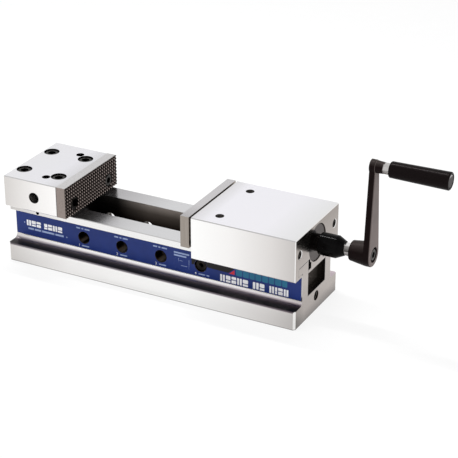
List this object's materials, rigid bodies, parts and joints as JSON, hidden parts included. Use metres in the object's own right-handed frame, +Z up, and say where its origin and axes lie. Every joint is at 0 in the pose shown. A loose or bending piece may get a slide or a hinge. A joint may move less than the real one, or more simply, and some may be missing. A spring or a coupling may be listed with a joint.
{
  "type": "hydraulic machine vise",
  "caption": "Machine vise with a serrated fixed jaw, a sliding jaw and a hydraulic booster spindle turned by a crank",
  "frame": {"origin": "middle of the ground underside of the bed, at the base mount", "axes": "+X along the bed towards the crank, +Y across it, +Z up"},
  "size_m": [0.5848, 0.125, 0.2204],
  "materials": {
    "ground_steel": "ground steel with a soft satin sheen",
    "hardened_plate": "hardened steel, warm grey, ground on its sides",
    "plain_steel": "turned and milled steel",
    "bright_steel": "bright ground steel",
    "black_steel": "blackened steel, semi-gloss",
    "black_forging": "blackened forging, satin",
    "black_grip": "black moulded grip, satin",
    "seal_rubber": "black seal rubber"
  },
  "bodies": {
    "base": {"body": "ground_steel", "fixed_jaw": "ground_steel", "fixed_jaw_plate": "hardened_plate", "fixed_jaw_bolts": "black_steel", "fixed_jaw_dowels": "bright_steel", "fixed_plate_screws": "black_steel", "anchor_nut": "plain_steel"},
    "pin": {"range_pin": "bright_steel"},
    "jaw": {"movable_jaw": "ground_steel", "movable_jaw_plate": "hardened_plate", "movable_plate_screws": "black_steel", "thrust_pad": "bright_steel", "retaining_ring": "ground_steel", "thrust_washer": "bright_steel"},
    "screw": {"spindle": "plain_steel", "spindle_gland": "plain_steel", "clutch_sleeve": "black_steel", "clutch_springs": "bright_steel", "clutch_plate": "plain_steel", "clutch_rollers": "bright_steel"},
    "piston": {"booster_piston": "bright_steel", "piston_seal": "seal_rubber", "return_springs": "bright_steel"},
    "plunger": {"pressure_plunger": "bright_steel", "plunger_seal": "seal_rubber"},
    "handle": {"drive_screw": "bright_steel", "crank": "black_forging", "crank_screw": "black_steel", "grip_pin": "bright_steel"},
    "grip_sleeve": {"grip": "black_grip"}
  },
  "joints": [
    {"name": "jaw_travel", "type": "slide", "parent": "base", "child": "jaw", "axis": [-1, 0, 0], "range_m": [0, 0.0584]},
    {"name": "spindle_turn", "type": "hinge", "parent": "jaw", "child": "screw", "pos_m": [0.2, 0, 0.0935], "axis": [-1, 0, 0], "range_deg": [0, 3504.5]},
    {"name": "pressure_stroke", "type": "slide", "parent": "screw", "child": "plunger", "axis": [-1, 0, 0], "range_m": [0, 0.007]},
    {"name": "crank_turn", "type": "hinge", "parent": "plunger", "child": "handle", "pos_m": [0.26, 0, 0.0935], "axis": [-1, 0, 0], "range_deg": [0, 840.5]},
    {"name": "piston_stroke", "type": "slide", "parent": "screw", "child": "piston", "axis": [-1, 0, 0], "range_m": [0, 0.000893]},
    {"name": "grip_spin", "type": "hinge", "parent": "handle", "child": "grip_sleeve", "pos_m": [0.33, 0, 0.2093], "axis": [1, 0, 0], "continuous": true},
    {"name": "range_pin_pull", "type": "slide", "parent": "base", "child": "pin", "axis": [0, -1, 0], "range_m": [0, 0.082]}
  ],
  "couplings": [
    {"joint": "spindle_turn", "follows": "jaw_travel", "rad_per_m": 1047.2},
    {"joint": "crank_turn", "follows": "pressure_stroke", "rad_per_m": 2094.4},
    {"joint": "piston_stroke", "follows": "pressure_stroke", "ratio": 0.12755}
  ]
}
